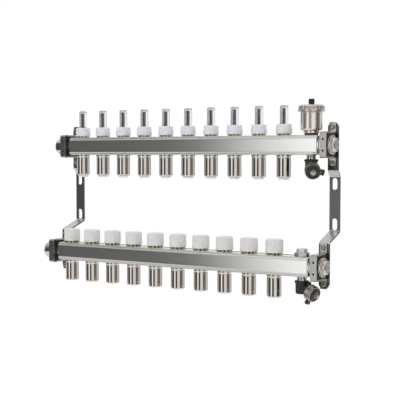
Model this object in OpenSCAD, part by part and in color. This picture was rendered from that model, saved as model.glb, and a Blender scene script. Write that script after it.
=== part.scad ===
// Ten-circuit underfloor heating manifold: supply bar with flow meters above,
// return bar with valve caps below, both held by two wall brackets.
// The wall is the plane y = 0, the room side is -Y, and the origin is the centre
// of the four wall slots.

/* [Layout] */
// Number of heating circuits
circuits = 10; // [2:1:10]
// Distance between two circuits along a bar
pitch = 50; // [45:1:60]
// Height from the return bar's axis to the supply bar's axis
bar_spacing = 210; // [200:5:240]
// Distance from the wall to the supply bar's axis
supply_depth = 36.5; // [34:0.5:60]
// How far the return bar stands in front of the supply bar
return_step = 38; // [30:1:60]

/* [Bars] */
// Height of the bar's section
bar_h = 34; // [32:1:40]
// Depth of the bar's section
bar_d = 36; // [32:1:40]
// Radius of the bar's long edges
bar_r = 5; // [2:0.5:10]
// Wall of the bars
bar_wall = 2; // [1.5:0.5:3]
// From the first circuit to the bar's plain end
plain_end = 23.5; // [20:0.5:60]
// From the last circuit to the end with vent and drain
fitted_end = 72.5; // [70:0.5:90]
// Outer diameter of the round neck at each end
neck_d = 33.2; // [33:0.1:34]
// Length of the neck outside the bar
neck_len = 19; // [18:0.5:24]

/* [Circuit connections] */
// Outer diameter of the connection sleeve
outlet_d = 26.2; // [25:0.1:27]
// Bore of the connection sleeve
outlet_bore = 18; // [14:1:19]
// Length of the sleeve below the bar
outlet_len = 41; // [38:1:45]

/* [Flow meters] */
// Diameter of the adjusting collar
collar_d = 29.2; // [28:0.1:32]
// Height of the adjusting collar
collar_h = 17; // [15:0.5:20]
// Diameter of the sight tube
tube_d = 15.2; // [14:0.1:16]
// Height of the sight tube above the collar
tube_h = 33.5; // [28:0.5:36]
// Diameter of the indicator rod
needle_d = 3.8; // [3:0.1:4]

/* [Return valves] */
// Diameter of the hand cap
cap_d = 32.6; // [32:0.1:35]
// Height of the hand cap
cap_h = 23.5; // [22:0.5:26]
// Gap between the bar and the hand cap when the valve is open
cap_gap = 4.2; // [4:0.1:6]

/* [Brackets] */
// Width of the bracket strip
strip_w = 20; // [18:1:24]
// Thickness of the bracket strip
strip_t = 3; // [2:0.5:3]
// Inner bend radius of the strip
bend_r = 3; // [1:0.5:5]
// Distance between the two wall slots of a bracket
slot_spacing = 72; // [60:1:80]
// Length of a wall slot
slot_len = 21; // [16:1:24]
// Width of a wall slot
slot_w = 9.8; // [6:0.1:10]
// Distance of the bracket's centre from the end of the bar
bracket_gap = 11.5; // [11:0.5:14]

/* [Hidden] */
$fn = 48;
fit = 0.08;
bar_len = (circuits - 1) * pitch + plain_end + fitted_end;
bar_end = bar_len / 2;
first_x = plain_end - bar_end;
service_x = bar_end - 19.5;
supply_z = bar_spacing / 2;
return_z = -bar_spacing / 2;
return_depth = supply_depth + return_step;
bracket_x = bar_end + bracket_gap;

// heights above or below a bar's own axis
bar_top = bar_h / 2;
outlet_end = -bar_top - outlet_len;
seat_z = -13;
spigot_r = 10.5;
port_r = 11;
vent_thread_r = 8;
plug_thread_r = 10;
drain_thread_r = 7;

// necks and their plugs
neck_wall = 2.6;
neck_r = neck_d / 2;
neck_bore_r = neck_r - neck_wall;
plug_inset = 3;
plug_flange_r = 17.25;
plug_flange_t = 3;

// flow meter
collar_z = bar_top + 3.5;
collar_top = collar_z + collar_h;
tube_top = collar_top + tube_h;
tube_foot = 22;
tube_wall = 1.5;
meter_r = 11.2;
meter_ring_r = 13.2;
meter_ring_h = 3;
needle_top = tube_top - 4.5;
baffle_z = -24;

// return valve
ring_r = 14.6;
ring_h = 3.8;
ring_notches = 12;
spindle_r = 13;
spindle_top = bar_top + 16;
cap_z = bar_top + cap_gap;
cap_roof = bar_top + 20;
pin_r = 1.95;
disc_z = -9.95;

// clamp round each neck
strap_w = 12;
strap_t = 2.5;
strap_half = 23;
strap_depth = 24.5;
ear_end = 40.5;
screw_z = 32;
screw_r = 2.95;
screw_hole_r = 3.3;
screw_head_r = 5;
screw_head_h = 3.5;
nut_r = 5.6;
nut_h = 4.5;
thread_past_nut = 1.5;
pip_z = 10;
pip_r = 2;

// bracket strip: height of each bend
upper_jog_top = 60;
upper_jog_end = 49;
lower_jog_top = -49;
lower_jog_end = -65;
supply_face_y = -supply_depth + strap_depth;
return_face_y = -return_depth + strap_depth;

// drain valves
drain_neck_r = 8.5;
drain_neck_len = 8;
drain_body_r = 11;
drain_body_len = 23;
drain_collar_r = 12.5;
drain_collar_h = 4;
drain_arm_r = 9;
drain_bore_r = 6;
drain_tilt = 21;
drain_arm = 28.6;
drain_cap_r = 14;
drain_cap_len = 14;
drain_drop = 11.3;
supply_drain_turn = -60;
return_drain_turn = -15;
supply_lug_turn = -11;
return_lug_turn = 258;

function two(i) = i < 9 ? str("0", i + 1) : str(i + 1);
function circuit_x(i) = first_x + i * pitch;
function numbered(name) = [for (i = [0 : circuits - 1]) str(name, "_", two(i))];

// ---- placing ----

module on_supply(x) { translate([x, -supply_depth, supply_z]) children(); }
module on_return(x) { translate([x, -return_depth, return_z]) children(); }
module each_supply() { for (i = [0 : circuits - 1]) on_supply(circuit_x(i)) children(); }
module each_return() { for (i = [0 : circuits - 1]) on_return(circuit_x(i)) children(); }

// the four ends of the bars, with +X pointing out of the bar
module each_bar_end() {
    for (side = [0, 1]) mirror([side, 0, 0]) {
        on_supply(bar_end) children();
        on_return(bar_end) children();
    }
}

module turned(points) { rotate_extrude() polygon(points); }
module along_x(length) { rotate([90, 0, 90]) linear_extrude(length) children(); }
module ring(r_out, r_in, z, h) {
    translate([0, 0, z]) difference() {
        cylinder(r = r_out, h = h);
        translate([0, 0, -1]) cylinder(r = r_in, h = h + 2);
    }
}
module rod_x(r, h) { rotate([0, 90, 0]) cylinder(r = r, h = h); }
module rod_y(r, h) { rotate([-90, 0, 0]) cylinder(r = r, h = h); }
module rod_y_hex(r, h) { rotate([-90, 0, 0]) cylinder(r = r, h = h, $fn = 6); }

// ---- bars ----

// rounded rectangle, centred: w along the first axis, h along the second
module rounded(w, h, r) {
    square([w - 2 * r, h], center = true);
    square([w, h - 2 * r], center = true);
    for (u = [-1, 1], v = [-1, 1])
        translate([u * (w / 2 - r), v * (h / 2 - r)]) circle(r);
}

// square tube with closed ends, a round neck at each end and ports in a row
module bar(top_service_r, bottom_service_r) {
    difference() {
        union() {
            translate([-bar_end, 0, 0]) along_x(bar_len) rounded(bar_d, bar_h, bar_r);
            translate([-bar_end - neck_len, 0, 0])
                rod_x(neck_r, bar_len + 2 * neck_len);
        }
        translate([bar_wall - bar_end, 0, 0])
            along_x(bar_len - 2 * bar_wall)
                rounded(bar_d - 2 * bar_wall, bar_h - 2 * bar_wall, bar_r - bar_wall);
        translate([-bar_end - neck_len - 1, 0, 0])
            rod_x(neck_bore_r, bar_len + 2 * neck_len + 2);
        for (i = [0 : circuits - 1]) translate([circuit_x(i), 0, 0]) {
            cylinder(r = port_r, h = bar_h);
            translate([0, 0, -bar_h]) cylinder(r = spigot_r, h = bar_h);
        }
        translate([service_x, 0, 0]) cylinder(r = top_service_r, h = bar_h);
        translate([service_x, 0, -bar_h]) cylinder(r = bottom_service_r, h = bar_h);
    }
}

module supply_bar() {
    color("silver") on_supply(0) bar(vent_thread_r, drain_thread_r);
}
module return_bar() {
    color("silver") on_return(0) bar(plug_thread_r, drain_thread_r);
}

// ---- circuit connections ----

module outlet() {
    turned([
        [outlet_bore / 2, seat_z], [spigot_r, seat_z], [spigot_r, -bar_top],
        [13.7, -bar_top], [13.7, -bar_top - 3.5], [outlet_d / 2, -bar_top - 5],
        [outlet_d / 2, outlet_end + 1.5], [outlet_d / 2 - 1.5, outlet_end],
        [outlet_bore / 2, outlet_end]]);
}
module supply_outlets() { color("lightgray") each_supply() outlet(); }
module return_outlets() { color("lightgray") each_return() outlet(); }

// push-in plastic plug that keeps dirt out of an unused connection
module outlet_dust_plugs() {
    color("white") each_supply() turned([
        [0, outlet_end + 10], [outlet_bore / 2, outlet_end + 10],
        [outlet_bore / 2, outlet_end], [10, outlet_end],
        [10, outlet_end - 4], [0, outlet_end - 4]]);
}

// spanner notches round a screwed-in ring: from radius r outwards, each w wide
module notches(r, w) {
    for (k = [0 : ring_notches - 1]) rotate([0, 0, k * 360 / ring_notches])
        translate([r, -w / 2, bar_top + 1]) cube([4, w, 4]);
}

// ---- flow meters ----

// screwed into the top port: guide for the rod, castellated ring, seat for the tube
module flow_meter_bodies() {
    color("tan") each_supply() difference() {
        turned([
            [needle_d / 2 + fit, 8], [port_r - 2, 8], [port_r, 10], [port_r, bar_top],
            [meter_ring_r, bar_top], [meter_ring_r, bar_top + meter_ring_h],
            [meter_r, bar_top + meter_ring_h], [meter_r, collar_top - 2.5], [tube_d / 2, collar_top - 2.5],
            [tube_d / 2, tube_foot], [needle_d / 2 + fit, tube_foot]]);
        notches(meter_ring_r - 1.6, 3.4);
    }
}

module sight_tubes() {
    color("white", 0.4) each_supply() turned([
        [tube_d / 2 - tube_wall, tube_foot], [tube_d / 2, tube_foot],
        [tube_d / 2, tube_top - 2], [tube_d / 2 - 2, tube_top], [0, tube_top],
        [0, tube_top - tube_wall], [tube_d / 2 - tube_wall, tube_top - tube_wall]]);
}

module flow_collar(i) {
    color("white") on_supply(circuit_x(i)) turned([
        [meter_r + fit, collar_z], [collar_d / 2, collar_z],
        [collar_d / 2, collar_z + 9], [collar_d / 2 - 0.8, collar_z + 10],
        [collar_d / 2 - 0.8, collar_top - 1.2], [collar_d / 2 - 2, collar_top],
        [tube_d / 2 + fit, collar_top], [tube_d / 2 + fit, collar_top - 2.3],
        [meter_r + fit, collar_top - 2.3]]);
}

// indicator rod with a pointer at the top and the flow disc in the outlet
module flow_needle(i) {
    color("dimgray") on_supply(circuit_x(i)) {
        translate([0, 0, baffle_z]) cylinder(d = needle_d, h = needle_top - baffle_z);
        translate([0, 0, baffle_z]) cylinder(r = 6.5, h = 2);
        translate([-4.6, -0.8, needle_top - 5]) cube([4.6, 1.6, 4]);
    }
}

// ---- return valves ----

module return_valve_inserts() {
    color("peru") each_return() difference() {
        turned([
            [pin_r + fit, -2], [port_r - 2, -2], [port_r, 0], [port_r, bar_top],
            [ring_r, bar_top], [ring_r, bar_top + ring_h], [spindle_r, bar_top + ring_h],
            [spindle_r, spindle_top - 1], [spindle_r - 1, spindle_top],
            [pin_r + fit, spindle_top]]);
        notches(ring_r - 1.2, 4);
    }
}

// pin that the hand cap pushes down, with the closing disc at its foot
module return_pin(i) {
    color("gray") on_return(circuit_x(i)) {
        translate([0, 0, disc_z]) cylinder(r = pin_r, h = cap_roof - 0.05 - disc_z);
        translate([0, 0, disc_z]) cylinder(r = 10, h = 3);
    }
}

module return_cap(i) {
    color("whitesmoke") on_return(circuit_x(i)) turned([
        [ring_r + 0.4, cap_z], [cap_d / 2, cap_z],
        [cap_d / 2 - 0.4, cap_z + cap_h - 2.5], [cap_d / 2 - 2.4, cap_z + cap_h],
        [0, cap_z + cap_h], [0, cap_roof], [spindle_r + fit, cap_roof],
        [spindle_r + fit, cap_z + 4], [ring_r + 0.4, cap_z + 4]]);
}

// ---- wall brackets and clamps ----

// outline of a bent strip: pts is its centre line, each bend an arc of radius r
function unit(v) = v / norm(v);
function bend_side(pts, r, side) = [
    for (k = [0 : len(pts) - 1])
        let (
            before = unit(k == 0 ? pts[1] - pts[0] : pts[k] - pts[k - 1]),
            after = unit(k == len(pts) - 1 ? before : pts[k + 1] - pts[k]),
            turn = atan2(cross(before, after), before * after),
            left = [-before[1], before[0]],
            hub = pts[k] + sign(turn) * r * left
                - before * (r * tan(abs(turn) / 2)),
            reach = sign(turn) * r - side * strip_t / 2,
            steps = turn == 0 ? 0 : 4)
        for (s = [0 : steps])
            let (a = steps == 0 ? 0 : turn * s / steps)
            turn == 0
                ? pts[k] + left * side * strip_t / 2
                : hub - reach * [
                    left[0] * cos(a) - left[1] * sin(a),
                    left[0] * sin(a) + left[1] * cos(a)]
];
function reversed(list) = [for (k = [len(list) - 1 : -1 : 0]) list[k]];

strip_line = [
    [supply_face_y + strip_t / 2, supply_z + ear_end + 0.5],
    [supply_face_y + strip_t / 2, upper_jog_top],
    [-strip_t / 2, upper_jog_end],
    [-strip_t / 2, lower_jog_top],
    [return_face_y + strip_t / 2, lower_jog_end],
    [return_face_y + strip_t / 2, return_z - ear_end - 0.5]];

// front view of the strip: round ends, slots for the wall, holes for the clamps
module strip_front() {
    top = supply_z + ear_end + 0.5;
    bottom = return_z - ear_end - 0.5;
    difference() {
        union() {
            for (z = [top - strip_w / 2, bottom + strip_w / 2])
                translate([0, z]) circle(strip_w / 2);
            translate([-strip_w / 2, bottom + strip_w / 2])
                square([strip_w, top - bottom - strip_w]);
        }
        for (z = [-slot_spacing / 2, slot_spacing / 2]) translate([0, z]) {
            for (end = [-1, 1])
                translate([0, end * (slot_len - slot_w) / 2]) circle(slot_w / 2);
            square([slot_w, slot_len - slot_w], center = true);
        }
        for (bar_z = [supply_z, return_z], side = [-1, 1])
            translate([0, bar_z + side * screw_z]) circle(screw_hole_r);
    }
}

module wall_bracket() {
    intersection() {
        translate([-strip_w / 2, 0, 0]) along_x(strip_w)
            polygon(concat(
                bend_side(strip_line, bend_r + strip_t / 2, 1),
                reversed(bend_side(strip_line, bend_r + strip_t / 2, -1))));
        translate([0, 1, 0]) rotate([90, 0, 0])
            linear_extrude(return_depth) strip_front();
    }
}
module wall_brackets() {
    color("darkgray") for (side = [-1, 1]) translate([side * bracket_x, 0, 0]) wall_bracket();
}

// square stirrup round the neck; its ears lie on the strip
module clamp_strap() {
    difference() {
        along_x(strap_w) difference() {
            union() {
                translate([-strap_half + 4, -strap_half])
                    square([strap_depth + strap_half - 4, 2 * strap_half]);
                translate([-strap_half, 4 - strap_half])
                    square([8, 2 * strap_half - 8]);
                for (side = [-1, 1])
                    translate([4 - strap_half, side * (strap_half - 4)]) circle(4);
                translate([strap_depth - strap_t, -ear_end])
                    square([strap_t, 2 * ear_end]);
            }
            translate([strap_t - strap_half, strap_t - strap_half])
                square([strap_depth + strap_half, 2 * (strap_half - strap_t)]);
        }
        for (side = [-1, 1]) {
            translate([strap_w / 2, 0, side * screw_z]) rod_y(screw_hole_r, strap_depth + 1);
            translate([strap_w / 2, -strap_half - 1, side * pip_z]) rod_y(pip_r, 6);
        }
    }
}
module clamp_straps() {
    color("silver") each_bar_end()
        translate([bracket_gap - strap_w / 2, 0, 0]) clamp_strap();
}

// rubber block between neck, stirrup and strip, with pips through the stirrup
module clamp_liners() {
    inner = strap_half - strap_t;
    color("black") each_bar_end() {
        difference() {
            translate([bracket_gap - strap_w / 2, -inner, -inner])
                cube([strap_w, strap_depth + inner, 2 * inner]);
            rod_x(neck_r, 3 * strap_w);
        }
        for (side = [-1, 1])
            translate([bracket_gap, -strap_half, side * pip_z]) rod_y(pip_r, strap_t);
    }
}

module clamp_screws() {
    head_y = strap_depth - strap_t;
    nut_y = strap_depth + strip_t;
    color("gray") each_bar_end() for (side = [-1, 1])
        translate([bracket_gap, 0, side * screw_z]) {
            translate([0, head_y - screw_head_h, 0]) rod_y(screw_head_r, screw_head_h);
            translate([0, head_y - 1, 0])
                rod_y(screw_r, 1 + strap_t + strip_t + nut_h + thread_past_nut);
            difference() {
                translate([0, nut_y, 0]) rod_y_hex(nut_r, nut_h);
                translate([0, nut_y - 1, 0]) rod_y(screw_r + fit, nut_h + 2);
            }
        }
}

// plug in a neck: round flange, then a hexagon with its outer corners turned off;
// turn is the angle of one hexagon corner away from straight up
module neck_plug(hex_r, hex_len, face_r, turn) {
    hex_x = neck_len + plug_flange_t;
    translate([plug_inset, 0, 0]) rod_x(neck_bore_r, neck_len - plug_inset);
    translate([neck_len, 0, 0]) rod_x(plug_flange_r, plug_flange_t);
    translate([hex_x, 0, 0]) intersection() {
        rotate([turn, 0, 0]) rotate([0, 90, 0]) cylinder(r = hex_r, h = hex_len, $fn = 6);
        rotate([0, 90, 0]) cylinder(r1 = face_r + 1.3 * hex_len, r2 = face_r, h = hex_len);
    }
}

// four in the necks, one in the return bar's upper service port
module blanking_plugs() {
    service_hex_h = 7;
    color("gainsboro") {
        on_supply(bar_end) neck_plug(13.8, 6.5, 10.5, 30);
        on_return(bar_end) neck_plug(13.8, 6.5, 10.5, 30);
        on_supply(-bar_end) mirror([1, 0, 0]) neck_plug(17, 15, 14, 0);
        on_return(-bar_end) mirror([1, 0, 0]) neck_plug(17, 15, 14, 20);
        on_return(service_x) {
            translate([0, 0, 8]) cylinder(r = plug_thread_r, h = bar_top - 8);
            translate([0, 0, bar_top]) cylinder(r = 13.2, h = service_hex_h, $fn = 6);
            translate([0, 0, bar_top + service_hex_h]) cylinder(r1 = 10.4, r2 = 8.8, h = 7);
        }
    }
}

// ---- air vent ----

vent_z = bar_top + 8.5;
vent_body_h = 33;
vent_lid_z = vent_z + vent_body_h;
vent_lid_h = 11.8;
vent_top = vent_lid_z + vent_lid_h;
vent_foot_r = 12;
vent_seat_r = 13.8;
vent_body_r = 19.2;
vent_wall = 2.2;
vent_lid_r = 23.4;
vent_pin_r = 3;
vent_cap_r = 5.4;
vent_cap_h = 10.7;

module air_vent_body() {
    color("gainsboro") on_supply(service_x) turned([
        [0, 6], [vent_thread_r, 6], [vent_thread_r, bar_top], [vent_foot_r, bar_top],
        [vent_foot_r, bar_top + 3.5], [vent_seat_r, bar_top + 3.5], [vent_seat_r, vent_z],
        [vent_body_r - 1.9, vent_z], [vent_body_r, vent_z + 1.9], [vent_body_r, vent_lid_z],
        [vent_body_r - vent_wall, vent_lid_z], [vent_body_r - vent_wall, vent_z + 4],
        [0, vent_z + 4]]);
}
module air_vent_lid() {
    color("gainsboro") on_supply(service_x) turned([
        [0, vent_lid_z], [vent_lid_r, vent_lid_z], [vent_lid_r, vent_lid_z + 3],
        [vent_lid_r - 0.8, vent_top - 2], [vent_lid_r - 2.8, vent_top],
        [vent_pin_r + fit, vent_top], [vent_pin_r + fit, vent_lid_z + 4],
        [0, vent_lid_z + 4]]);
}
module air_vent_cap() {
    color("black") on_supply(service_x) turned([
        [0, vent_lid_z + 5], [vent_pin_r, vent_lid_z + 5], [vent_pin_r, vent_top],
        [vent_cap_r - 1, vent_top], [vent_cap_r, vent_top + 8],
        [vent_cap_r - 0.4, vent_top + vent_cap_h], [0, vent_top + vent_cap_h]]);
}

// ---- drain valves ----

// the arm's own frame: +X out of the arm, origin where the arm leaves the body
module drain_frame(turn) {
    translate([0, 0, -bar_top - drain_neck_len - drain_drop])
        rotate([0, 0, turn]) rotate([0, drain_tilt, 0]) children();
}

// black swivelling body with a tab for the cap's strap, and the metal nipple that turns
// in the bar's lower port
module drain_body(turn) {
    body_z = -bar_top - drain_neck_len - drain_body_len;
    translate([0, 0, -bar_top - drain_neck_len])
        cylinder(r = drain_neck_r, h = drain_neck_len - fit);
    translate([0, 0, -bar_top - 1])
        cylinder(r = drain_thread_r - fit, h = 9);
    difference() {
        union() {
            translate([0, 0, body_z]) cylinder(r = drain_body_r, h = drain_body_len);
            translate([0, 0, -bar_top - drain_neck_len - drain_collar_h])
                cylinder(r = drain_collar_r, h = drain_collar_h);
            drain_frame(turn) {
                rod_x(drain_arm_r, drain_arm);
                translate([9, -3.5, 6]) cube([6, 7, 9.5]);
            }
        }
        drain_frame(turn) translate([3, 0, 0]) rod_x(drain_bore_r, drain_arm);
    }
}
// ribbed cap with a spindle key on its face and a finger lug on its rim
module drain_cap(turn, lug_turn) {
    drain_frame(turn) {
        rotate([lug_turn, 0, 0]) translate([drain_arm - 8, 12, -5]) cube([6, 9, 10]);
        difference() {
            translate([drain_arm - drain_cap_len + 2.4, 0, 0]) rod_x(drain_cap_r, drain_cap_len);
            translate([drain_arm - drain_cap_len, 0, 0])
                rod_x(drain_arm_r + fit, drain_cap_len + 0.1);
        }
        translate([drain_arm + 1, 0, 0]) rod_x(drain_cap_r - 2, 4);
        translate([drain_arm + 5, -3, -3]) cube([4, 6, 6]);
    }
}

module supply_drain_body() {
    color("dimgray") on_supply(service_x) drain_body(supply_drain_turn);
}
module supply_drain_cap() {
    color("black") on_supply(service_x) drain_cap(supply_drain_turn, supply_lug_turn);
}
module return_drain_body() {
    color("dimgray") on_return(service_x) drain_body(return_drain_turn);
}
module return_drain_cap() {
    color("black") on_return(service_x) drain_cap(return_drain_turn, return_lug_turn);
}

for (i = [0 : circuits - 1]) {
    flow_collar(i);
    flow_needle(i);
    return_cap(i);
    return_pin(i);
}
supply_bar();
return_bar();
supply_outlets();
return_outlets();
outlet_dust_plugs();
flow_meter_bodies();
sight_tubes();
return_valve_inserts();
wall_brackets();
clamp_straps();
clamp_liners();
clamp_screws();
blanking_plugs();
air_vent_body();
air_vent_lid();
air_vent_cap();
supply_drain_body();
supply_drain_cap();
return_drain_body();
return_drain_cap();
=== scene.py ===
"""Looks of a ten-circuit underfloor heating manifold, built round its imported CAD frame."""
import math

import bmesh
import bpy
from mathutils import Matrix, Vector


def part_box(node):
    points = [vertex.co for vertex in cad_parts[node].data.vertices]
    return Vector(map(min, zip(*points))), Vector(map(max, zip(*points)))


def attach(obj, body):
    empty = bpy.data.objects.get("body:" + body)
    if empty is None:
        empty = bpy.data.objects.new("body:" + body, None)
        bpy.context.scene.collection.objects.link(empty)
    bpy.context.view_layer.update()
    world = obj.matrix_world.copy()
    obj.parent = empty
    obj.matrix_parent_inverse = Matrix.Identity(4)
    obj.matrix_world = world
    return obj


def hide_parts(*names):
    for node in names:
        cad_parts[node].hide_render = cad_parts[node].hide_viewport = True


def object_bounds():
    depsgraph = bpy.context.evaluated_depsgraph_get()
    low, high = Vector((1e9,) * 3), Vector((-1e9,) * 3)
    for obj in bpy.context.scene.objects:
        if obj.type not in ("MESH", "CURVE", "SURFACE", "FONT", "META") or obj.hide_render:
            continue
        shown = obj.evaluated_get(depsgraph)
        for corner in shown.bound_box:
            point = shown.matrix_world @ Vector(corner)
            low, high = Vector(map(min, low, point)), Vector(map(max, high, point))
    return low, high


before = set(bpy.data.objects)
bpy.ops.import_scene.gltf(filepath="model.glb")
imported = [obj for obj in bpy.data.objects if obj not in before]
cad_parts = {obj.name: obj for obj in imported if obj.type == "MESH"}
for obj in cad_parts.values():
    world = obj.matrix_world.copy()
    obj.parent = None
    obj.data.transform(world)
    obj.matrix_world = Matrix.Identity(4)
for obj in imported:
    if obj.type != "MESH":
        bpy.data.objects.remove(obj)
CAD_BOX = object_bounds()

MM = 0.001
CIRCUITS = 10
NUMBERS = [f"{i + 1:02d}" for i in range(CIRCUITS)]


# ---- places, all read from the frame ----

def centre(node):
    low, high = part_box(node)
    return (Vector(low) + Vector(high)) / 2


def bottom(node):
    return Vector(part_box(node)[0]).z


def top_of(node):
    return Vector(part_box(node)[1]).z


def row_axis(bar):
    """The centre of a bar, and the bar's half sizes, in metres."""
    low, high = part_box(bar)
    return centre(bar), (Vector(high) - Vector(low)) / 2


SUPPLY, SUPPLY_HALF = row_axis("supply_bar")
RETURN, RETURN_HALF = row_axis("return_bar")
NECK_LEN = 19 * MM
CLAMP_REACH = 32 * MM
STRAP_THICKNESS = 2.5 * MM
BAR_END = SUPPLY_HALF.x - NECK_LEN
BAR_TOP = SUPPLY_HALF.z
BRACKET_X = BAR_END + 11.5 * MM
SUPPLY_X = [centre(f"flow_collar_{n}").x for n in NUMBERS]
SERVICE_X = centre("air_vent_lid").x
OUTLET_END = bottom("supply_outlets") - SUPPLY.z
COLLAR_Z = bottom("flow_collar_01") - SUPPLY.z
COLLAR_TOP = top_of("flow_collar_01") - SUPPLY.z
TUBE_TOP = top_of("sight_tubes") - SUPPLY.z
NEEDLE_TOP = top_of("flow_needle_01") - SUPPLY.z
CAP_Z = bottom("return_cap_01") - RETURN.z
CAP_TOP = top_of("return_cap_01") - RETURN.z


# ---- mesh work ----

def soften(outline, radius, steps=3):
    """Rounds each inner corner of an open outline of (radius, height) pairs in metres."""
    done = [outline[0]]
    for before, corner, after in zip(outline, outline[1:], outline[2:]):
        p, q, s = Vector(before), Vector(corner), Vector(after)
        reach = min(radius, (p - q).length * 0.45, (s - q).length * 0.45)
        start = q + (p - q).normalized() * reach
        end = q + (s - q).normalized() * reach
        for k in range(steps + 1):
            t = k / steps
            point = start * (1 - t) ** 2 + q * 2 * t * (1 - t) + end * t ** 2
            done.append(tuple(point))
    return done + [outline[-1]]


def lathe(mesh, outline, steps=56, closed=False):
    """Spins an outline of (radius, height) pairs round the upright axis."""
    verts = [mesh.verts.new((r, 0, h)) for r, h in outline]
    pairs = list(zip(verts, verts[1:])) + ([(verts[-1], verts[0])] if closed else [])
    edges = [mesh.edges.new(pair) for pair in pairs]
    made = bmesh.ops.spin(mesh, geom=verts + edges, cent=(0, 0, 0), axis=(0, 0, 1),
                          angle=2 * math.pi, steps=steps, use_merge=True)
    bmesh.ops.remove_doubles(mesh, verts=mesh.verts, dist=1e-6)
    return made


def turned(outline, radius=0.4, steps=56, closed=False):
    """A lathe-turned part from an outline in millimetres, its corners rounded."""
    mesh = bmesh.new()
    points = [(r * MM, h * MM) for r, h in outline]
    if closed:
        points = soften(points + points[:2], radius * MM)[1:-1]
        lathe(mesh, points, steps, closed=True)
    else:
        lathe(mesh, soften(points, radius * MM), steps)
    return mesh


def hexed(mesh, flats, low, high, within=1.0):
    """Cuts six flats into a turned wall, within a radius and between two heights, in metres."""
    for v in mesh.verts:
        reach = math.hypot(v.co.x, v.co.y)
        if low <= v.co.z <= high and 1e-6 < reach < within:
            turn = (math.atan2(v.co.y, v.co.x) % (math.pi / 3)) - math.pi / 6
            limit = flats / 2 / math.cos(math.pi / 6 - abs(turn))
            shrink = min(1, limit / reach)
            v.co.x *= shrink
            v.co.y *= shrink
    return mesh


def block(size, at=(0, 0, 0)):
    mesh = bmesh.new()
    bmesh.ops.create_cube(mesh, size=1)
    bmesh.ops.scale(mesh, verts=mesh.verts, vec=size)
    bmesh.ops.translate(mesh, verts=mesh.verts, vec=at)
    return mesh


def bevel(mesh, width, segments=2, angle=30):
    sharp = [e for e in mesh.edges
             if len(e.link_faces) == 2 and e.calc_face_angle(0) > math.radians(angle)]
    bmesh.ops.bevel(mesh, geom=sharp, offset=width, offset_type="OFFSET", affect="EDGES",
                    segments=segments, profile=0.5, material=-1, clamp_overlap=True)
    return mesh


def join(*meshes):
    """Adds the later meshes to the first one."""
    first = meshes[0]
    for other in meshes[1:]:
        data = bpy.data.meshes.new("joined")
        other.to_mesh(data)
        other.free()
        first.from_mesh(data)
        bpy.data.meshes.remove(data)
    return first


def moved(mesh, matrix):
    bmesh.ops.transform(mesh, matrix=matrix, verts=mesh.verts)
    return mesh


def at(x, y, z):
    return Matrix.Translation((x, y, z))


def flute(mesh, count, depth, low, high, power=1.0):
    """Presses evenly spaced upright grooves into a turned wall between two heights."""
    for v in mesh.verts:
        radius = math.hypot(v.co.x, v.co.y)
        if low < v.co.z < high and radius > 1e-6:
            wave = 0.5 - 0.5 * math.cos(count * math.atan2(v.co.y, v.co.x))
            shrink = 1 - depth * wave ** power / radius
            v.co.x *= shrink
            v.co.y *= shrink
    return mesh


def finish_mesh(mesh, name, smooth_angle=34):
    bmesh.ops.recalc_face_normals(mesh, faces=mesh.faces)
    for face in mesh.faces:
        face.smooth = True
    for edge in mesh.edges:
        edge.smooth = len(edge.link_faces) != 2 or edge.calc_face_angle(0) < math.radians(smooth_angle)
    data = bpy.data.meshes.new(name)
    mesh.to_mesh(data)
    return data


def piece(name, mesh, material, body, slot, *nodes, place=None, keep=False):
    """Makes a finished piece of a bmesh, in place, ties it to its body and hides its nodes; slot is not used.
    """
    data = finish_mesh(mesh, name)
    if place is not None:
        data.transform(place)
    if not keep:
        mesh.free()
    data.materials.append(material)
    thing = bpy.data.objects.new(name, data)
    bpy.context.scene.collection.objects.link(thing)
    # flat faces stay flat in reflections, and only the rounded edges bend the light
    thing.modifiers.new("even_shading", "WEIGHTED_NORMAL").keep_sharp = True
    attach(thing, body)
    if nodes:
        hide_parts(*nodes)
    return thing


def cad_copy(node):
    """A merged copy of a CAD node's mesh, its flat faces made whole again."""
    mesh = bmesh.new()
    mesh.from_mesh(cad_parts[node].data)
    bmesh.ops.remove_doubles(mesh, verts=mesh.verts, dist=2e-6)
    bmesh.ops.dissolve_limit(mesh, angle_limit=math.radians(1), verts=mesh.verts,
                             edges=mesh.edges, delimit={"NORMAL"})
    return mesh


# ---- materials ----

def colour(hexa):
    """An sRGB hex value as linear red, green, blue and alpha."""
    parts = [int(hexa[i:i + 2], 16) / 255 for i in (1, 3, 5)]
    return tuple(c / 12.92 if c <= 0.04045 else ((c + 0.055) / 1.055) ** 2.4 for c in parts) + (1,)


def node(tree, kind, inputs=None, **settings):
    """Adds one node, with its settings, and sets or links its inputs."""
    made = tree.nodes.new(kind)
    for key, value in settings.items():
        setattr(made, key, value)
    for key, value in (inputs or {}).items():
        if isinstance(value, bpy.types.NodeSocket):
            tree.links.new(value, made.inputs[key])
        else:
            made.inputs[key].default_value = value
    return made


def surface(name, **values):
    """A material with one Principled shader, whose plain values are given by socket name."""
    material = bpy.data.materials.new(name)
    material.use_nodes = True
    tree = material.node_tree
    shader = tree.nodes["Principled BSDF"]
    for key, value in values.items():
        shader.inputs[key.replace("_", " ")].default_value = value
    return material, tree, shader


def grain(tree, cell_mm, stretch=(1, 1, 1), detail=3.0, rough=0.5):
    """Noise on object coordinates, its cells cell_mm wide and drawn out along any axis."""
    place = node(tree, "ShaderNodeTexCoord").outputs["Object"]
    scaled = node(tree, "ShaderNodeMapping", {"Vector": place, "Scale": stretch}).outputs["Vector"]
    return node(tree, "ShaderNodeTexNoise", {"Vector": scaled, "Scale": 1 / (cell_mm * MM), "Detail": detail,
                                             "Roughness": rough}).outputs["Fac"]


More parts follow.
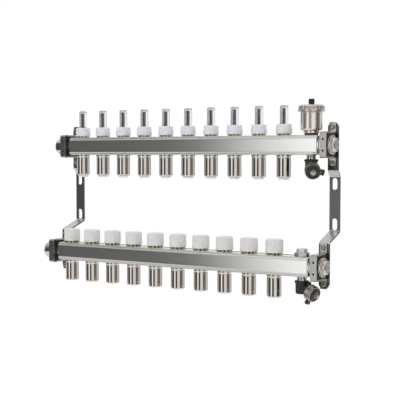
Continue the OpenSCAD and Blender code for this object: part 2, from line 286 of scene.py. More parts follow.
def rubbed_edges(tree, radius_mm, cell_mm=5):
    """How much an edge has been rubbed: where the surface turns, broken up by a coarse grain."""
    true = node(tree, "ShaderNodeNewGeometry").outputs["True Normal"]
    round_off = node(tree, "ShaderNodeBevel", {"Radius": radius_mm * MM}, samples=4).outputs["Normal"]
    along = node(tree, "ShaderNodeVectorMath", {0: true, 1: round_off}, operation="DOT_PRODUCT")
    turned_away = node(tree, "ShaderNodeMapRange", {"Value": along.outputs["Value"], "From Min": 0.995,
                                                    "From Max": 0.85})
    return node(tree, "ShaderNodeMath", {0: turned_away.outputs["Result"], 1: grain(tree, cell_mm)},
                operation="MULTIPLY").outputs["Value"]


def dress(tree, shader, clouds, shades, marks, rough, depth_mm, wear_and_highlight=None):
    """Shades a surface by its clouds, and roughens and dents it by its tool marks."""
    base = node(tree, "ShaderNodeMix", {"Factor": clouds, "A": colour(shades[0]), "B": colour(shades[1])},
                data_type="RGBA").outputs["Result"]
    # real rubbed-edge wear, or on the strips a painted highlight on faces tilted up or down, lightens the
    # colour here
    if wear_and_highlight:
        base = node(tree, "ShaderNodeMix", {"Factor": wear_and_highlight[0], "A": base, "B": colour(wear_and_highlight[1])},
                    data_type="RGBA").outputs["Result"]
    sheen = node(tree, "ShaderNodeMapRange", {"Value": marks, "To Min": rough[0], "To Max": rough[1]})
    dents = node(tree, "ShaderNodeBump", {"Height": marks, "Distance": depth_mm * MM, "Strength": 0.5})
    tree.links.new(base, shader.inputs["Base Color"])
    tree.links.new(sheen.outputs["Result"], shader.inputs["Roughness"])
    tree.links.new(dents.outputs["Normal"], shader.inputs["Normal"])


def drawn_stainless():
    """Stainless 304 tube, drawn and linished lengthwise: long faint lines in a satin mirror."""
    material, tree, shader = surface("drawn_stainless", Metallic=1.0)
    lines = grain(tree, 0.6, stretch=(0.012, 1, 1), detail=4, rough=0.7)
    clouds = grain(tree, 60, stretch=(0.4, 1, 1))
    dress(tree, shader, clouds, ("#BDBDBA", "#CDCDCB"), lines, (0.1, 0.19), 0.008)
    return material


def polished_nickel(name, dark, light, rough):
    """Nickel plate over turned brass: mirror bright and slightly warm, with faint turning rings."""
    material, tree, shader = surface(name, Metallic=1.0)
    rings = grain(tree, 0.6, stretch=(0.02, 0.02, 1))
    smears = grain(tree, 9, detail=4)
    dress(tree, shader, smears, (dark, light), rings, rough, 0.003)
    return material


def satin_nickel(name, shades, rough):
    """Nickel plate on a blasted brass casting: warmer and softer than the sleeves."""
    material, tree, shader = surface(name, Metallic=1.0)
    dress(tree, shader, grain(tree, 7, detail=4), shades, grain(tree, 0.35), rough, 0.008)
    return material


def machined_brass():
    """Bare turned brass, pale yellow, its tone varying at random in small clouds."""
    material, tree, shader = surface("machined_brass", Metallic=1.0)
    marks = grain(tree, 0.4, stretch=(1, 1, 0.1))
    dress(tree, shader, grain(tree, 4, detail=4), ("#CDB580", "#F0E4C2"), marks, (0.26, 0.42), 0.01)
    return material


def zinc_steel(name, shades, rough, bright=None):
    """Pressed mild steel, zinc plated: a faint crystal bloom, scuffs, and edges rubbed pale; given a bright
    colour instead, it paints a highlight on faces tilted up or down in place of the rubbed edges.
    """
    material, tree, shader = surface(name, Metallic=1.0)
    bloom = grain(tree, 3.5, detail=5, rough=0.6)
    scuffs = grain(tree, 0.5, stretch=(1, 1, 0.08), rough=0.65)
    wear_and_highlight = (rubbed_edges(tree, 0.8), "#D2D2CF")
    if bright:
        # painted highlight: faces tilted up or down, at the strip's bends and edges, are lightened towards
        # the bright colour, standing in for the light they catch from ceiling and floor
        facing = node(tree, "ShaderNodeSeparateXYZ",
                      {"Vector": node(tree, "ShaderNodeNewGeometry").outputs["Normal"]}).outputs["Z"]
        steep = node(tree, "ShaderNodeMath", {0: facing}, operation="ABSOLUTE").outputs["Value"]
        tilt_highlight = node(tree, "ShaderNodeMapRange", {"Value": steep, "From Min": 0.08, "From Max": 0.45})
        wear_and_highlight = (tilt_highlight.outputs["Result"], bright)
    dress(tree, shader, bloom, shades, scuffs, rough, 0.01, wear_and_highlight)
    return material


def moulded_plastic(name, shades, rough, grain_mm=0.4, depth_mm=0.01, **values):
    """Injection-moulded plastic with the fine eroded grain of its tool."""
    material, tree, shader = surface(name, **values)
    dress(tree, shader, grain(tree, 8), shades, grain(tree, grain_mm), rough, depth_mm)
    return material


STAINLESS = drawn_stainless()
NICKEL = polished_nickel("polished_nickel", "#BDB6AF", "#CDC7C1", (0.05, 0.12))
PLUG_NICKEL = polished_nickel("polished_nickel_plug", "#B9B2AB", "#CBC4BD", (0.1, 0.2))
VENT_NICKEL = satin_nickel("satin_nickel_body", ("#DED4CC", "#EAE1DA"), (0.24, 0.36))
LID_NICKEL = satin_nickel("satin_nickel_lid", ("#BBB3AC", "#CBC4BD"), (0.24, 0.36))
DOME_NICKEL = satin_nickel("satin_nickel_dome", ("#D4D3D2", "#E2E1E0"), (0.34, 0.46))
BRASS = machined_brass()
# wall strips, stirrups, screws, pins and the drain caps' rings, from dark to bright plate; the strips' dark
# grey is painted dark reflection, standing in for the dark screens mirrored in their bright zinc
STRIP_STEEL_DARKENED = zinc_steel("zinc_strip_steel_painted_dark_reflection", ("#585856", "#70706D"), (0.3, 0.44), "#C4C4C0")
STRAP_STEEL = zinc_steel("zinc_strap_steel", ("#8C8C89", "#A0A09D"), (0.16, 0.28))
SCREW_STEEL = zinc_steel("zinc_screw_steel", ("#8A8A84", "#A5A59E"), (0.2, 0.34))
PIN_STEEL = zinc_steel("turned_pin_steel", ("#8E8E8C", "#A6A6A4"), (0.15, 0.3))
# painted shade: the supply drain's ring is a darker copy of the grey ring below, standing in for the shade it
# sits in
SHADED_COPY_RING = zinc_steel("shaded_copy_nickel_ring", ("#4B453E", "#6E665D"), (0.16, 0.3))
CAP_RING = zinc_steel("grey_nickel_ring", ("#7A726A", "#A0988F"), (0.16, 0.3))
# hand caps: ABS, slightly translucent at the ribs
CAP_WHITE = moulded_plastic("white_abs_cap", ("#DEDEDC", "#E9E9E7"), (0.36, 0.5),
                            Subsurface_Weight=0.2, Subsurface_Scale=0.003)
# adjusting collars: natural polypropylene, milky
COLLAR_WHITE = moulded_plastic("milky_polypropylene_collar", ("#E6E7EC", "#EEEFF4"), (0.32, 0.46),
                               Subsurface_Weight=0.3, Subsurface_Scale=0.004)
# dust plugs: soft low-density polyethylene
DUST_WHITE = moulded_plastic("soft_polyethylene_plug", ("#E6E6E6", "#F0F0F0"), (0.4, 0.55),
                             Subsurface_Weight=0.4, Subsurface_Scale=0.005)
# scale sleeves: pale plastic, with the printed lines on it in grey ink
SCALE_GREY = moulded_plastic("printed_scale_sleeve", ("#DADADE", "#E4E4E8"), (0.4, 0.55))
SCALE_INK = moulded_plastic("scale_print", ("#5A5B60", "#66676C"), (0.5, 0.6))
# indicator rods: acetal, dark grey
NEEDLE_DARK = moulded_plastic("dark_acetal_rod", ("#5C5C61", "#6C6C71"), (0.3, 0.45))
# drain housings and cap faces: glass-filled nylon, with a dull, uneven skin
BLACK_PLASTIC = moulded_plastic("black_glass_filled_nylon", ("#111112", "#1D1D1E"), (0.36, 0.58), 0.5, 0.03)
# vent cap: plain black nylon
BLACK_CAP = moulded_plastic("black_vent_cap_nylon", ("#0E0E0F", "#19191B"), (0.35, 0.55))
# liners and gasket: EPDM rubber; it also colours the black rings behind the notched rings, which are painted
# shadow
RUBBER = moulded_plastic("black_epdm_rubber", ("#0B0B0B", "#161616"), (0.55, 0.75), 0.6, 0.03)
# sight tubes: clear polycarbonate
CLEAR = moulded_plastic("clear_polycarbonate", ("#EAEDEF", "#F2F4F5"), (0.02, 0.06), 2.0, 0.003,
                        Transmission_Weight=1.0, IOR=1.5)


# ---- bars ----

def bar_mesh(half):
    """Rounded-square tube with closed, softly rounded ends, weld beads and round necks."""
    width, depth, height = 2 * BAR_END, 2 * half.y, 2 * half.z
    mesh = block((width, depth, height))
    along = [e for e in mesh.edges if abs((e.verts[0].co - e.verts[1].co).x) > width / 2]
    bmesh.ops.bevel(mesh, geom=along, offset=5 * MM, affect="EDGES", segments=6, profile=0.5,
                    material=-1, offset_type="OFFSET")
    ends = [e for e in mesh.edges
            if all(abs(abs(v.co.x) - BAR_END) < 1e-6 for v in e.verts)]
    bmesh.ops.bevel(mesh, geom=ends, offset=3 * MM, affect="EDGES", segments=5, profile=0.5,
                    material=-1, offset_type="OFFSET")
    for side in (-1, 1):
        neck = turned([(0, -2), (17.6, -2), (17.6, 0.6), (16.6, 1.6), (16.6, 18.2), (15.9, 19),
                       (14.2, 19), (14.2, 10), (0, 10)], 0.4)
        out = Matrix.Rotation(side * math.pi / 2, 4, "Y")
        moved(neck, at(side * BAR_END, 0, 0) @ out)
        mesh = join(mesh, neck)
    return mesh


def bars():
    for name, place, half in (("supply", SUPPLY, SUPPLY_HALF), ("return", RETURN, RETURN_HALF)):
        piece(f"{name}_bar_tube", bar_mesh(half), STAINLESS, "frame", "stainless_bar",
              f"{name}_bar", place=at(*place))


# ---- connection sleeves ----

def sleeve_mesh():
    end = OUTLET_END / MM
    top = -BAR_TOP / MM
    return turned([
        (9, -13), (10.5, -13), (10.5, top), (13.7, top), (13.7, top - 3.2), (13.0, top - 4.4),
        (12.7, top - 5.2), (12.7, top - 5.9), (13.1, top - 6.6), (13.1, end + 2.2),
        (12.1, end), (11.2, end), (9, end + 4)], 0.5, closed=True)


def connection_sleeves():
    for name, place in (("supply", SUPPLY), ("return", RETURN)):
        mesh = sleeve_mesh()
        for x, number in zip(SUPPLY_X, NUMBERS):
            piece(f"{name}_sleeve_{number}", mesh, NICKEL, "frame", "nickel_sleeve",
                  f"{name}_outlets", place=at(x, place.y, place.z), keep=True)
        mesh.free()


def dust_plugs():
    end = OUTLET_END / MM
    mesh = turned([(0, end + 10), (8.2, end + 10), (8.9, end + 8), (8.9, end - 0.1), (10, end - 0.1),
                   (10, end - 1.6), (9.2, end - 2.2), (9.2, end - 4), (7.8, end - 4),
                   (7.2, end - 1.5), (0, end - 1.5)], 0.5)
    for x, number in zip(SUPPLY_X, NUMBERS):
        piece(f"dust_plug_{number}", mesh, DUST_WHITE, "frame", "white_dust_plug",
              "outlet_dust_plugs", place=at(x, SUPPLY.y, SUPPLY.z), keep=True)
    mesh.free()


# ---- flow meters ----

RING_NOTCHES = 12
SCALE_MARKS = 11


def castellated(mesh, count, width, radius, low, high):
    """Cuts notches, width radians wide, into a ring by pulling its wall in between two heights."""
    for v in mesh.verts:
        angle = math.atan2(v.co.y, v.co.x)
        step = 2 * math.pi / count
        off = abs((angle + step / 2) % step - step / 2)
        reach = math.hypot(v.co.x, v.co.y)
        if off < width / 2 and reach > radius and low < v.co.z < high:
            v.co.x *= radius / reach
            v.co.y *= radius / reach
    return mesh


def meter_body_mesh():
    top = BAR_TOP / MM
    mesh = turned([
        (2, 8), (9, 8), (11, 10), (11, top), (13.2, top), (13.2, top + 0.8), (13.2, top + 1.0),
        (13.2, top + 2.8), (12.6, top + 3), (11.2, top + 3), (11.2, COLLAR_TOP / MM - 2.5),
        (7.6, COLLAR_TOP / MM - 2.5), (7.6, 22), (2, 22)], 0.15, steps=144, closed=True)
    return castellated(mesh, RING_NOTCHES, 3.4 / 13.2, 11.6 * MM, BAR_TOP + 0.9 * MM, BAR_TOP + 3.2 * MM)


def collar_mesh():
    low, high = COLLAR_Z / MM, COLLAR_TOP / MM
    mesh = turned([
        (11.3, low), (14.2, low), (14.6, low + 0.6), (14.6, low + 9), (13.9, low + 9.8),
        (13.8, low + 10.2), (13.8, high - 1.4), (12.8, high), (7.75, high), (7.75, high - 2.2),
        (11.3, high - 2.2)], 0.35, steps=144, closed=True)
    return flute(mesh, 36, 0.45 * MM, (low + 0.7) * MM, (low + 8.9) * MM)


def sight_tube_mesh():
    foot, top = 22, TUBE_TOP / MM
    return turned([
        (6.1, foot), (7.6, foot), (7.6, top - 6.2), (7.1, top - 5.6), (7.1, top - 4.4), (7.6, top - 3.8),
        (7.6, top - 2.0), (6.2, top), (0, top), (0, top - 1.5), (5.2, top - 1.5), (6.1, top - 2.8)],
        0.5, steps=48, closed=False)


def close_tube(mesh):
    """Joins the tube's inner wall to its foot, so that the wall is one closed solid."""
    bmesh.ops.holes_fill(mesh, edges=[e for e in mesh.edges if e.is_boundary], sides=0)
    return mesh


def needle_mesh():
    top = NEEDLE_TOP / MM
    rod = turned([(0, -24), (6.5, -24), (6.5, -22.6), (1.9, -22), (1.9, top - 0.8), (1.2, top), (0, top)],
                 0.3, steps=32)
    flag = bevel(block((4.4 * MM, 1.5 * MM, 4 * MM), (-2.4 * MM, 0, (top - 3) * MM)), 0.35 * MM)
    return join(rod, flag)


def scale_meshes():
    """Half sleeve with the printed scale, inside the left half of the sight tube."""
    low, high = COLLAR_TOP / MM - 2, TUBE_TOP / MM - 4
    sleeve = bmesh.new()
    verts = [sleeve.verts.new((5.9 * MM, 0, h * MM)) for h in (low, high)]
    edge = sleeve.edges.new(verts)
    bmesh.ops.rotate(sleeve, verts=verts, cent=(0, 0, 0), matrix=Matrix.Rotation(math.radians(122), 3, "Z"))
    bmesh.ops.spin(sleeve, geom=verts + [edge], cent=(0, 0, 0), axis=(0, 0, 1),
                   angle=math.radians(150), steps=20)
    bmesh.ops.solidify(sleeve, geom=list(sleeve.faces), thickness=0.25 * MM)
    ticks = bmesh.new()
    for k in range(SCALE_MARKS):
        z = low + 4 + (high - low - 8) * k / (SCALE_MARKS - 1)
        arc = 34 if k % 5 == 0 else 20
        line = bmesh.new()
        ends = [line.verts.new((5.6 * MM, 0, (z + d) * MM)) for d in (-0.22, 0.22)]
        bar = line.edges.new(ends)
        bmesh.ops.rotate(line, verts=ends, cent=(0, 0, 0),
                         matrix=Matrix.Rotation(math.radians(226), 3, "Z"))
        bmesh.ops.spin(line, geom=ends + [bar], cent=(0, 0, 0), axis=(0, 0, 1),
                       angle=math.radians(arc), steps=6)
        bmesh.ops.solidify(line, geom=list(line.faces), thickness=0.08 * MM)
        ticks = join(ticks, line)
    return sleeve, ticks


def shadow_ring_mesh(radius, height):
    """Dark ring behind the notches of a screwed-in ring, a painted shadow: it stands in for the shade between
    the castellations.
    """
    low = BAR_TOP / MM + 0.95
    return turned([(radius - 1, low), (radius, low), (radius, low + height), (radius - 1, low + height)],
                  0.1, steps=60, closed=True)


def flow_meters():
    bodies, collar = meter_body_mesh(), collar_mesh()
    shadow = shadow_ring_mesh(11.75, 1.9)
    tube, needle = close_tube(sight_tube_mesh()), needle_mesh()
    sleeve, ticks = scale_meshes()
    for x, number in zip(SUPPLY_X, NUMBERS):
        place = at(x, SUPPLY.y, SUPPLY.z)
        piece(f"meter_body_{number}", bodies, BRASS, "frame", "brass_insert",
              "flow_meter_bodies", place=place, keep=True)
        piece(f"meter_collar_{number}", collar, COLLAR_WHITE, f"flow_collar_{number}", "white_collar",
              f"flow_collar_{number}", place=place, keep=True)
        piece(f"sight_tube_{number}", tube, CLEAR, "frame", "clear_tube", "sight_tubes",
              place=place, keep=True)
        piece(f"scale_sleeve_{number}", sleeve, SCALE_GREY, "frame", "clear_tube", place=place, keep=True)
        # painted shadow: a black ring behind the body's notches stands in for the shade between them
        piece(f"meter_notch_shadow_{number}", shadow, RUBBER, "frame", "rubber_liner", place=place, keep=True)
        piece(f"scale_marks_{number}", ticks, SCALE_INK, "frame", "dark_needle", place=place, keep=True)
        piece(f"indicator_rod_{number}", needle, NEEDLE_DARK, f"flow_needle_{number}", "dark_needle",
              f"flow_needle_{number}", place=place, keep=True)
    for mesh in (bodies, collar, tube, needle, sleeve, ticks, shadow):
        mesh.free()


# ---- return valves ----

def insert_mesh():
    top = BAR_TOP / MM
    mesh = turned([
        (2.03, -2), (9, -2), (11, 0), (11, top), (14.6, top), (14.6, top + 0.8), (14.6, top + 1.0),
        (14.6, top + 3.6), (14.2, top + 3.8), (13, top + 3.8), (13, top + 15), (12, top + 16),
        (2.03, top + 16)], 0.15, steps=144, closed=True)
    return castellated(mesh, RING_NOTCHES, 4 / 14.6, 13.3 * MM, BAR_TOP + 0.9 * MM, BAR_TOP + 4 * MM)


def hand_cap_mesh():
    low, high = CAP_Z / MM, CAP_TOP / MM
    roof = BAR_TOP / MM + 20
    mesh = turned([
        (0, roof), (13.08, roof), (13.08, low + 4), (15, low + 4), (15, low), (16.1, low),
        (16.3, low + 0.5), (16.3, low + 2.2), (16.0, low + 2.8), (15.95, low + 3.2),
        (15.85, high - 3.4), (15.6, high - 2.2), (14.6, high - 0.3), (12, high), (11.2, high - 0.5),
        (2.4, high - 0.8), (0, high - 0.8)], 0.7, steps=192)
    return flute(mesh, 32, 0.9 * MM, (low + 3) * MM, (high - 2.0) * MM, 1.6)


def pin_mesh():
    return turned([(0, -9.95), (9.6, -9.95), (10, -9.4), (10, -7.4), (9.2, -6.95), (1.95, -6.95),
                   (1.95, 36.4), (1.3, 36.95), (0, 36.95)], 0.3, steps=40)


def return_valves():
    insert, cap, pin = insert_mesh(), hand_cap_mesh(), pin_mesh()
    shadow = shadow_ring_mesh(13.5, 2.75)
    for x, number in zip(SUPPLY_X, NUMBERS):
        place = at(x, RETURN.y, RETURN.z)
        piece(f"valve_insert_{number}", insert, BRASS, "frame", "brass_insert",
              "return_valve_inserts", place=place, keep=True)
        # painted shadow: a black ring behind the insert's notches stands in for the shade between them
        piece(f"insert_notch_shadow_{number}", shadow, RUBBER, "frame", "rubber_liner", place=place, keep=True)
        piece(f"hand_cap_{number}", cap, CAP_WHITE, f"return_cap_{number}", "white_hand_cap",
              f"return_cap_{number}", place=place, keep=True)
        piece(f"closing_pin_{number}", pin, PIN_STEEL, f"return_pin_{number}", "steel_pin",
              f"return_pin_{number}", place=place, keep=True)
    for mesh in (insert, cap, pin, shadow):
        mesh.free()


# ---- brackets and clamps ----

def brackets_and_clamps():
    for name, node_name, width, material, slot in (
            ("bracket_strips", "wall_brackets", 0.45, STRIP_STEEL_DARKENED, "zinc_steel_strip"),
            ("neck_stirrups", "clamp_straps", 0.4, STRAP_STEEL, "zinc_steel_strap"),
            ("neck_liners", "clamp_liners", 0.6, RUBBER, "rubber_liner")):
        piece(name, bevel(cad_copy(node_name), width * MM), material, "frame", slot, node_name)


def screw_mesh():
    """Cap screw with a hex socket, its washer, shank and nut; +Z is out of the head, 0 the ear."""
    head = turned([(0, 1.3), (2, 1.3), (2.1, 3.2), (2.9, 3.5), (3.9, 3.2), (4.3, 2.4), (4.3, 0.9), (5, 0.85),
                   (5, 0), (2.9, 0), (2.9, -11.1), (2.5, -11.5), (0, -11.5)], 0.25, steps=48)
    head = hexed(head, 3.5 * MM, 1.2 * MM, 3.3 * MM, within=2.5 * MM)
    nut = turned([(3, -5.5), (5.6, -5.5), (5.6, -9.2), (5.2, -9.7), (4.6, -10), (3, -10)], 0.15, steps=48,
                 closed=True)
    return join(head, hexed(nut, 9.7 * MM, -10.1 * MM, -5.4 * MM))


def clamp_screws():
    mesh = screw_mesh()
    ear_y = Vector(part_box("clamp_straps")[1]).y - SUPPLY.y - STRAP_THICKNESS
    out = Matrix.Rotation(math.pi / 2, 4, "X")
    places = [(name, axis, side, up) for name, axis in (("supply", SUPPLY), ("return", RETURN))
              for side in (-1, 1) for up in (-1, 1)]
    for k, (name, axis, side, up) in enumerate(places):
        spot = at(side * BRACKET_X, axis.y + ear_y, axis.z + up * CLAMP_REACH)
        piece(f"{name}_clamp_screw_{k + 1}", mesh, SCREW_STEEL, "frame", "zinc_screw",
              "clamp_screws", place=spot @ out, keep=True)
    mesh.free()


def plug_mesh(hex_r, length, face_r):
    """Neck plug along +Z: flange, then a hexagon whose outer corners are turned off."""
    end = 22 + length
    drop = (hex_r - face_r) / 3
    mesh = turned([
        (0, 3), (13.9, 3), (13.9, 19), (16.7, 19), (17.25, 19.5), (17.25, 21.5), (16.8, 22), (hex_r, 22),
        (hex_r, end - 3 * drop), (hex_r - drop, end - 1.6 * drop), (hex_r - 2 * drop, end - 0.6 * drop),
        (face_r, end), (face_r * 0.55, end), (face_r * 0.5, end - 0.5), (0, end - 0.5)], 0.3, steps=72)
    return hexed(mesh, hex_r * math.sqrt(3) * MM, 22.1 * MM, (end + 0.1) * MM)


def service_plug_mesh():
    """Plug in the return bar's upper port: hexagon below, ringed dome above."""
    top = BAR_TOP / MM
    hexagon = turned([
        (0, 8), (9.9, 8), (9.9, top), (13.2, top), (13.2, top + 6.2), (12.4, top + 7), (0, top + 7)],
        0.3, steps=72)
    hexagon = hexed(hexagon, 13.2 * math.sqrt(3) * MM, (top - 0.1) * MM, (top + 6.3) * MM)
    rings = [(10.4, top + 7), (10.3, top + 8.2), (9.8, top + 8.5), (9.8, top + 8.9), (10.1, top + 9.2),
             (9.9, top + 10.4), (9.4, top + 10.7), (9.4, top + 11.1), (9.7, top + 11.4), (9.3, top + 13.2),
             (8.4, top + 14), (0, top + 14)]
    return hexagon, turned([(0, top + 6.9)] + rings, 0.25, steps=72)


def plugs():
    short, long = plug_mesh(13.8, 6.5, 10.5), plug_mesh(17, 15, 14)
    for name, axis, mesh, side, roll in (
            ("supply_right", SUPPLY, short, 1, 0), ("return_right", RETURN, short, 1, 0),
            ("supply_left", SUPPLY, long, -1, 30), ("return_left", RETURN, long, -1, -10)):
        out = Matrix.Rotation(side * math.pi / 2, 4, "Y") @ Matrix.Rotation(math.radians(roll), 4, "Z")
        piece(f"{name}_end_plug", mesh, PLUG_NICKEL, "frame", "nickel_plug", "blanking_plugs",
              place=at(side * BAR_END, axis.y, axis.z) @ out, keep=True)
    short.free()
    long.free()
    hexagon, dome = service_plug_mesh()
    place = at(SERVICE_X, RETURN.y, RETURN.z)
    piece("service_plug_hexagon", hexagon, LID_NICKEL, "frame", "nickel_plug", "blanking_plugs", place=place)
    piece("service_plug_dome", dome, DOME_NICKEL, "frame", "nickel_plug", "blanking_plugs", place=place)


# ---- air vent ----

def air_vent():
    place = at(SERVICE_X, SUPPLY.y, SUPPLY.z)
    top = BAR_TOP / MM
    foot = top + 8.5
    lid = bottom("air_vent_lid") / MM - SUPPLY.z / MM
    lid_top = top_of("air_vent_lid") / MM - SUPPLY.z / MM
    cap_top = top_of("air_vent_cap") / MM - SUPPLY.z / MM
    body = turned([
        (0, 6), (8, 6), (8, top + 3.4), (13.4, top + 3.4), (13.8, top + 4.2), (13.8, foot - 0.8),
        (12.6, foot), (17.0, foot), (18.6, foot + 1.2), (19.2, foot + 3), (19.2, lid - 2.4),
        (18.7, lid - 1.6), (18.7, lid - 0.1), (0, lid - 0.1)], 0.6, steps=72)
    piece("vent_body", body, VENT_NICKEL, "frame", "nickel_vent", "air_vent_body", place=place)
    gasket = turned([
        (8.1, top), (11.6, top), (12, top + 0.6), (12, top + 2.8), (11.6, top + 3.4), (8.1, top + 3.4)],
        0.5, closed=True)
    piece("vent_gasket", gasket, RUBBER, "frame", "rubber_liner", place=place)
    lid_mesh = turned([
        (0, lid), (22.8, lid), (23.4, lid + 0.8), (23.4, lid + 3.2), (22.9, lid + 4.0), (22.8, lid_top - 2.6),
        (21.2, lid_top - 0.5), (19.4, lid_top), (3.2, lid_top), (3.2, lid_top - 4), (0, lid_top - 4)],
        0.6, steps=160)
    lid_mesh = flute(lid_mesh, 16, 0.9 * MM, (lid + 3.5) * MM, (lid_top - 0.1) * MM, 2.0)
    piece("vent_lid", lid_mesh, LID_NICKEL, "frame", "nickel_vent", "air_vent_lid", place=place)
    cap = turned([
        (0, lid + 5), (2.9, lid + 5), (2.9, lid_top), (4.3, lid_top + 0.1), (4.5, lid_top + 1.5),
        (5.2, lid_top + 3), (5.4, cap_top - 2.6), (4.9, cap_top - 0.4), (4, cap_top), (0, cap_top)],
        0.5, steps=96)
    cap = flute(cap, 24, 0.25 * MM, (lid_top + 2.6) * MM, (cap_top - 0.8) * MM)
    piece("vent_screw_cap", cap, BLACK_CAP, "air_vent_cap", "black_vent_cap", "air_vent_cap", place=place)


# ---- drain valves ----

DRAIN_TILT = math.radians(21)
DRAIN_NECK = 8
DRAIN_DROP = 11.3
DRAIN_ARM = 28.6
# each valve's bar, the bearings of its arm and of its cap's lug in degrees, and its ring's metal, the supply
# ring's darker one being painted shade
DRAIN_VALVES = {"supply": (SUPPLY, -60, -11, SHADED_COPY_RING), "return": (RETURN, -15, 258, CAP_RING)}


def drain_body_meshes(arm):
    """Metal nipple, and the black housing with its side arm and the tab for the cap's strap."""
    low = -BAR_TOP / MM - DRAIN_NECK
    nipple = turned([
        (0, low + 16), (6.9, low + 16), (6.9, low + 7.9), (8.2, low + 7.9), (8.5, low + 7.4),
        (8.5, low + 5.6), (7.7, low + 5), (7.7, low + 4.4), (8.5, low + 3.8), (8.5, low), (0, low)], 0.3)
    trunk = turned([
        (0, low), (12, low), (12.5, low - 0.6), (12.5, low - 3.4), (11.9, low - 4), (11, low - 4.6),
        (10.8, low - 21), (9.4, low - 23), (0, low - 23)], 0.7)
    tube = turned([
        (0, 0), (9, 0), (9, DRAIN_ARM - 0.6), (8.6, DRAIN_ARM), (6, DRAIN_ARM), (6, 6), (0, 6)], 0.4)
    tab = bevel(block((9.5 * MM, 7 * MM, 6 * MM), (-10.75 * MM, 0, 12 * MM)), 1.2 * MM, 3)
    return nipple, join(trunk, moved(join(tube, tab), arm))


def drain_cap_meshes(lug_turn):
    """Knurled ring, black face with its finger lug, and the bright spindle; +Z is out of the arm."""
    back, front = DRAIN_ARM - 11.6, DRAIN_ARM + 2.4
    ring = turned([(9.1, back), (13.4, back), (14, back + 0.6), (14, front - 1), (13.4, front - 0.1),
                   (11.8, front), (11.8, front - 3.4), (9.1, front - 3.4)], 0.4, steps=180, closed=True)
    ring = flute(ring, 45, 0.45 * MM, (back + 0.7) * MM, (front - 1.2) * MM)
    face = turned([
        (0, front - 3.3), (11.7, front - 3.3), (11.7, front + 1.8), (11, front + 2.4), (9.4, front + 2.4),
        (8.8, front + 1.6), (0, front + 1.6)], 0.3)
    lug = bevel(block((10 * MM, 9 * MM, 6 * MM)), 1.4 * MM, 3)
    spot = at(0, 16.5 * MM, (DRAIN_ARM - 5) * MM)
    lug = moved(lug, Matrix.Rotation(math.radians(lug_turn), 4, "Z") @ spot)
    boss = turned([
        (0, front + 1.5), (5.2, front + 1.5), (5.2, front + 2.6), (4.8, front + 3), (0, front + 3)],
        0.3, steps=40)
    key = bevel(block((6 * MM, 6 * MM, 5 * MM), (0, 0, (front + 4) * MM)), 0.7 * MM, 3)
    return ring, join(face, lug), join(boss, key)


def drain_valves():
    for name, (axis, turn, lug_turn, metal) in DRAIN_VALVES.items():
        place = at(SERVICE_X, axis.y, axis.z)
        root = at(0, 0, -BAR_TOP - (DRAIN_NECK + DRAIN_DROP) * MM)
        arm = (root @ Matrix.Rotation(math.radians(turn), 4, "Z")
               @ Matrix.Rotation(DRAIN_TILT, 4, "Y") @ Matrix.Rotation(math.pi / 2, 4, "Y"))
        nipple, housing = drain_body_meshes(arm)
        ring, face, spindle = drain_cap_meshes(lug_turn)
        body, cap = f"{name}_drain_body", f"{name}_drain_cap"
        piece(f"{name}_drain_neck", nipple, NICKEL, body, "nickel_plug", body, place=place)
        piece(f"{name}_drain_housing", housing, BLACK_PLASTIC, body, "black_drain_plastic", body, place=place)
        piece(f"{name}_drain_cap_ring", ring, metal, cap, "nickel_drain_cap", cap, place=place @ arm)
        piece(f"{name}_drain_cap_face", face, BLACK_PLASTIC, cap, "black_vent_cap", cap, place=place @ arm)
        piece(f"{name}_drain_spindle", spindle, SCREW_STEEL, cap, "nickel_drain_cap", cap, place=place @ arm)


bars()
connection_sleeves()
dust_plugs()
flow_meters()
return_valves()
brackets_and_clamps()
clamp_screws()
plugs()
air_vent()
drain_valves()


# ---- studio ----

CAMERA_PLACE = (0.8882, -1.5068, 0.0874)
CAMERA_TURN = 0.5301
CAMERA_DIP = -0.0498
LENS = 81.2
SENSOR = 36


def camera():
    data = bpy.data.cameras.new("camera")
    data.lens = LENS
    data.sensor_width = SENSOR
    thing = bpy.data.objects.new("camera", data)
    thing.location = CAMERA_PLACE
    thing.rotation_euler = (math.pi / 2 + CAMERA_DIP, 0, CAMERA_TURN)
    bpy.context.scene.collection.objects.link(thing)
    bpy.context.scene.camera = thing


FLOOR_SPAN = 2.4
FLOOR_DROP = 0.35


def floor():
    mesh = bmesh.new()
    bmesh.ops.create_grid(mesh, x_segments=1, y_segments=1, size=FLOOR_SPAN / 2)
    bmesh.ops.translate(mesh, verts=mesh.verts, vec=(0, 0, CAD_BOX[0][2] - FLOOR_DROP))
    material, tree, shader = surface("pale_floor", Roughness=0.8, Base_Color=colour("#F6F6F6"),
                                     Emission_Color=colour("#FFFFFF"), Emission_Strength=0.3)
    data = bpy.data.meshes.new("floor")
    mesh.to_mesh(data)
    mesh.free()
    data.materials.append(material)
    thing = bpy.data.objects.new("floor", data)
    bpy.context.scene.collection.objects.link(thing)


# bearings round the object, in degrees from the front towards the right, and how light it is there
STUDIO_BEARINGS = [
    (-180, 1.0), (-140, 1.0), (-125, 0.35), (-108, 0.35), (-96, 1.0), (-80, 0.9), (-72, 0.09),
    (-45, 0.1), (-37, 0.18), (-30, 0.16), (-27, 1.05), (-24, 1.75), (-17, 1.6), (-8, 1.05), (-3, 0.1),
    (20, 0.1), (25, 1.1), (62, 1.1), (70, 0.08),
    (116, 0.08), (126, 1.0), (150, 0.9), (156, 0.45), (170, 0.45), (176, 1.0)]
SKY_LIGHT = 1.0


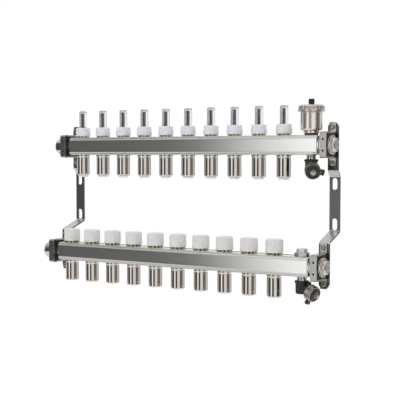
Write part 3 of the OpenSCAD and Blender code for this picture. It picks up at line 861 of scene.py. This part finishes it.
def studio():
    """A white room with dark screens round it and a bright ceiling; seen directly it is plain white."""
    world = bpy.data.worlds.new("studio")
    bpy.context.scene.world = world
    world.use_nodes = True
    tree = world.node_tree
    tree.nodes.clear()
    direction = node(tree, "ShaderNodeTexCoord").outputs["Generated"]
    parts = node(tree, "ShaderNodeSeparateXYZ", {"Vector": direction})
    front = node(tree, "ShaderNodeMath", {0: parts.outputs["Y"], 1: -1.0}, operation="MULTIPLY")
    bearing = node(tree, "ShaderNodeMath", {0: parts.outputs["X"], 1: front.outputs["Value"]},
                   operation="ARCTAN2")
    share = node(tree, "ShaderNodeMapRange", {"Value": bearing.outputs["Value"], "From Min": -math.pi,
                                              "From Max": math.pi})
    walls = node(tree, "ShaderNodeValToRGB", {"Fac": share.outputs["Result"]})
    ramp = walls.color_ramp
    ramp.interpolation = "LINEAR"
    while len(ramp.elements) < len(STUDIO_BEARINGS):
        ramp.elements.new(0.5)
    for element, (angle, light) in zip(ramp.elements, STUDIO_BEARINGS):
        element.position = (angle + 180) / 360
        element.color = (light, light, light, 1)
    height = node(tree, "ShaderNodeMapRange", {"Value": parts.outputs["Z"], "From Min": 0.25,
                                               "From Max": 0.6})
    sky = node(tree, "ShaderNodeMix", {"Factor": height.outputs["Result"], "A": walls.outputs["Color"],
                                       "B": (SKY_LIGHT, SKY_LIGHT, SKY_LIGHT, 1)}, data_type="RGBA")
    lit = node(tree, "ShaderNodeBackground", {"Color": sky.outputs["Result"], "Strength": 1.0})
    seen = node(tree, "ShaderNodeBackground", {"Color": (1, 1, 1, 1), "Strength": 1.0})
    rays = node(tree, "ShaderNodeLightPath")
    straight = node(tree, "ShaderNodeMath", {0: rays.outputs["Is Camera Ray"],
                                             1: rays.outputs["Is Transmission Ray"]}, operation="MAXIMUM")
    both = node(tree, "ShaderNodeMixShader", {0: straight.outputs["Value"], 1: lit.outputs[0],
                                              2: seen.outputs[0]})
    node(tree, "ShaderNodeOutputWorld", {"Surface": both.outputs[0]})


def softbox(name, place, size, power):
    data = bpy.data.lights.new(name, "AREA")
    data.shape = "RECTANGLE"
    data.size, data.size_y = size
    data.energy = power
    thing = bpy.data.objects.new(name, data)
    thing.location = place
    thing.rotation_mode = "QUATERNION"
    thing.rotation_quaternion = (-Vector(place)).to_track_quat("-Z", "Y")
    bpy.context.scene.collection.objects.link(thing)


camera()
floor()
studio()
softbox("ceiling_softbox", (-0.3, -0.7, 1.6), (1.6, 1.0), 2)
bpy.context.scene.view_settings.view_transform = "Standard"
